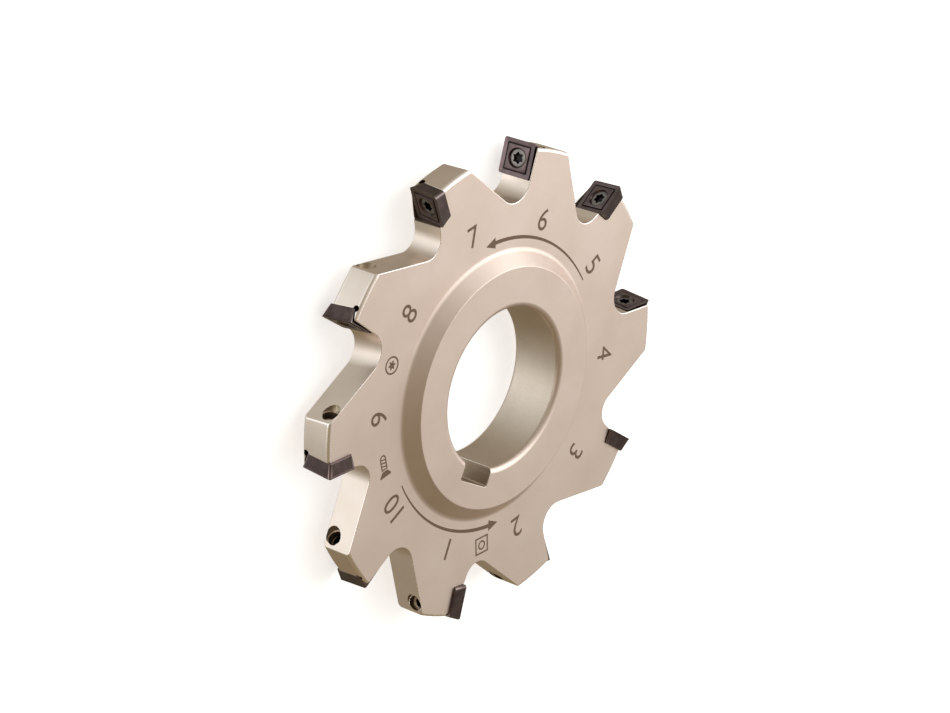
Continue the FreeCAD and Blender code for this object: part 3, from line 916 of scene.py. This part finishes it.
def tooth_number(number):
    """Number of one tooth, upright towards the rim, on the ring midway between hub and gullets."""
    letters = bpy.data.curves.new("number", "FONT")
    letters.body = str(number)
    letters.size = NUMBER_SIZE
    letters.extrude = BURN
    letters.align_x = "CENTER"
    letters.align_y = "CENTER"
    written = bpy.data.objects.new("number", letters)
    bpy.context.scene.collection.objects.link(written)
    graph = bpy.context.evaluated_depsgraph_get()
    raised = bpy.data.meshes.new_from_object(written.evaluated_get(graph))
    bpy.data.objects.remove(written)
    shape = bmesh.new()
    shape.from_mesh(raised)
    bmesh.ops.remove_doubles(shape, verts=shape.verts, dist=0.001)
    shape.to_mesh(raised)
    shape.free()
    raised.transform(on_the_face(FIRST_NOSE + PITCH * (number - 1) - NUMBER_LAG))
    mark = bpy.data.objects.new("number", raised)
    bpy.context.scene.collection.objects.link(mark)
    place_mark(mark, "tooth_number_%02d" % number)


for number in range(1, TEETH + 1):
    tooth_number(number)


def patch(outline):
    """Burnt area inside one outline."""
    return prism(outline, -BURN, BURN)


def line_loop(outer, inner):
    """Burnt line that closes on itself, between two outlines of equally many points."""
    loops = [[(x, y, BURN) for x, y in outer], [(x, y, BURN) for x, y in inner],
             [(x, y, -BURN) for x, y in inner], [(x, y, -BURN) for x, y in outer]]
    return [point for loop in loops for point in loop], loops_to_faces(4, len(outer), True)


def ring_points(radius, count=32):
    turns = [2 * math.pi * step / count for step in range(count)]
    return [(radius * math.cos(turn), radius * math.sin(turn)) for turn in turns]


def turning_arrow(start, sweep, radius):
    """Arc that grows thicker towards its head, the way the cutter turns.

    Tail, neck and wide are half widths, and head is the length of the head in degrees.
    """
    tail, neck, wide, head = 0.12, 0.34, 0.95, 5.2
    steps = 40
    outer, inner = [], []
    for step in range(steps + 1):
        turn = math.radians(start + sweep * step / steps)
        half = tail + (neck - tail) * step / steps
        outer.append(((radius + half) * math.cos(turn), (radius + half) * math.sin(turn)))
        inner.append(((radius - half) * math.cos(turn), (radius - half) * math.sin(turn)))
    neck_turn = math.radians(start + sweep)
    tip_turn = math.radians(start + sweep + head)
    barbs = [((radius + side) * math.cos(neck_turn), (radius + side) * math.sin(neck_turn))
             for side in (wide, -wide)]
    tip = (radius * math.cos(tip_turn), radius * math.sin(tip_turn))
    return patch(outer + [barbs[0], tip, barbs[1]] + inner[::-1])


on_top = Matrix.Translation((0, 0, HALF_DISC))
arrows = [(on_top, turning_arrow(start, ARROW_SWEEP, ARROW_RADIUS)) for start in ARROW_STARTS]
place_mark(gather("arrows", arrows, burnt), "turning_arrows")

# A square with a ring in it stands for the insert
sign = on_the_face(292, radius=27.8) @ Matrix.Rotation(math.radians(8), 4, "Z")
place_mark(gather("sign", [
    (sign, line_loop(box_points(-1.55, -1.55, 1.55, 1.55),
                     box_points(-1.25, -1.25, 1.25, 1.25))),
    (sign, line_loop(ring_points(0.85), ring_points(0.55))),
], burnt), "insert_sign")

# A countersunk head and a shank with three slanting thread lines stand for the screw
sign = on_the_face(220, radius=27.2)
head = [(-2.0, -1.25), (-1.7, -1.25), (-0.95, -0.6), (-0.95, 0.6), (-1.7, 1.25), (-2.0, 1.25)]
shank = [(-0.75, -0.7), (1.5, -0.7), (2.0, -0.35), (2.0, 0.35), (1.5, 0.7), (-0.75, 0.7)]
inside = [(-0.5, -0.45), (1.4, -0.45), (1.75, -0.2), (1.75, 0.2), (1.4, 0.45), (-0.5, 0.45)]
place_mark(gather("sign", [
    (sign, patch(head)),
    (sign, line_loop(shank, inside)),
    (sign, patch([(-0.3, -0.43), (-0.05, -0.43), (0.2, 0.43), (-0.05, 0.43)])),
    (sign, patch([(0.3, -0.43), (0.55, -0.43), (0.8, 0.43), (0.55, 0.43)])),
    (sign, patch([(0.9, -0.43), (1.15, -0.43), (1.4, 0.43), (1.15, 0.43)])),
], burnt), "screw_sign")

# The end of a six-lobe key in a ring stands for the key
sign = on_the_face(184, radius=27.2)
KEY_POINTS = 48
six_lobes = []
for step in range(KEY_POINTS):
    turn = 2 * math.pi * step / KEY_POINTS
    reach = 0.66 + 0.2 * math.cos(6 * turn)
    six_lobes.append((reach * math.cos(turn), reach * math.sin(turn)))
place_mark(gather("sign", [
    (sign, line_loop(ring_points(1.55, KEY_POINTS), ring_points(1.25, KEY_POINTS))),
    (sign, patch(six_lobes)),
], burnt), "key_sign")


# The studio
# A plain pale floor that the lower hub face rests on. The room is a dim warm grey with one large
# soft window beyond the disc and a white card in front of it, so the plate shows both as soft
# gradients. The floor itself is left out of the plate's reflections.
FLOOR_REACH = 1500
floor_corners = box_points(-FLOOR_REACH, -FLOOR_REACH, FLOOR_REACH, FLOOR_REACH)
floor = mesh_object("studio_floor", [(x, y, -HALF_HUB) for x, y in floor_corners],
                    [(0, 1, 2, 3)], [])
floor.data.transform(Matrix.Scale(0.001, 4))
floor.visible_glossy = False
paper = bpy.data.materials.new("matt_white_paper")
paper.use_nodes = True
paper_shader = paper.node_tree.nodes["Principled BSDF"]
paper_shader.inputs["Base Color"].default_value = linear("#F4F4F4")
paper_shader.inputs["Roughness"].default_value = 0.9
paper_shader.inputs["Emission Color"].default_value = linear("#FFFFFF")
paper_shader.inputs["Emission Strength"].default_value = 0.6
floor.data.materials.append(paper)

world = bpy.data.worlds.new("studio_room")
world.use_nodes = True
backdrop = world.node_tree.nodes["Background"]
direction = add_node(world, "ShaderNodeTexCoord").outputs["Generated"]

# Where each light of the room lies, how narrow it is, how strong and of which colour: the window,
# its bright middle, the white card, and the bright strip along the card's top
ROOM_LIGHTS = (((0.41, 0.709, 0.574), 4.0, 0.85, "#D2DCEB"),
               ((0.3, 0.55, 0.78), 14.0, 0.4, "#FFFFFF"),
               ((-0.77, 0.0, -0.64), 7.0, 1.15, "#DCECFA"),
               ((-0.94, -0.3, -0.17), 50.0, 1.7, "#FFF8FF"))

# Numbers of a mix node's colour sockets, whose names its number and vector sockets have too
MIX_FIRST, MIX_SECOND, MIX_RESULT = 6, 7, 2
glow = None
for side, spread, gain, tint in ROOM_LIGHTS:
    towards = add_node(world, "ShaderNodeVectorMath", {0: direction, 1: side},
                       operation="DOT_PRODUCT")
    nearness = add_node(world, "ShaderNodeMapRange",
                        {"Value": towards.outputs["Value"], "From Min": -1.0})
    share = add_node(world, "ShaderNodeMath", {0: nearness.outputs["Result"], 1: spread},
                     operation="POWER")
    lit = add_node(world, "ShaderNodeMix",
                   {"Factor": share.outputs["Value"],
                    MIX_SECOND: [gain * part for part in linear(tint)]},
                   data_type="RGBA", blend_type="ADD")
    if glow is None:
        lit.inputs[MIX_FIRST].default_value = linear("#8E8169")
    else:
        world.node_tree.links.new(glow, lit.inputs[MIX_FIRST])
    glow = lit.outputs[MIX_RESULT]
world.node_tree.links.new(glow, backdrop.inputs["Color"])
backdrop.inputs["Strength"].default_value = 1.15
bpy.context.scene.world = world
bpy.context.scene.view_settings.view_transform = "Standard"


def light_panel(name, place, size, power, colour):
    """Square soft panel that faces the middle of the cutter."""
    lamp = bpy.data.lights.new(name, "AREA")
    lamp.size = size
    lamp.energy = power
    lamp.color = linear(colour)[:3]
    panel = bpy.data.objects.new(name, lamp)
    panel.location = place
    panel.rotation_euler = (-Vector(place)).to_track_quat("-Z", "Y").to_euler()
    panel.visible_camera = False
    bpy.context.scene.collection.objects.link(panel)


light_panel("window_panel", (0.19, 0.205, 0.225), size=0.36, power=0.56, colour="#F3F8FF")
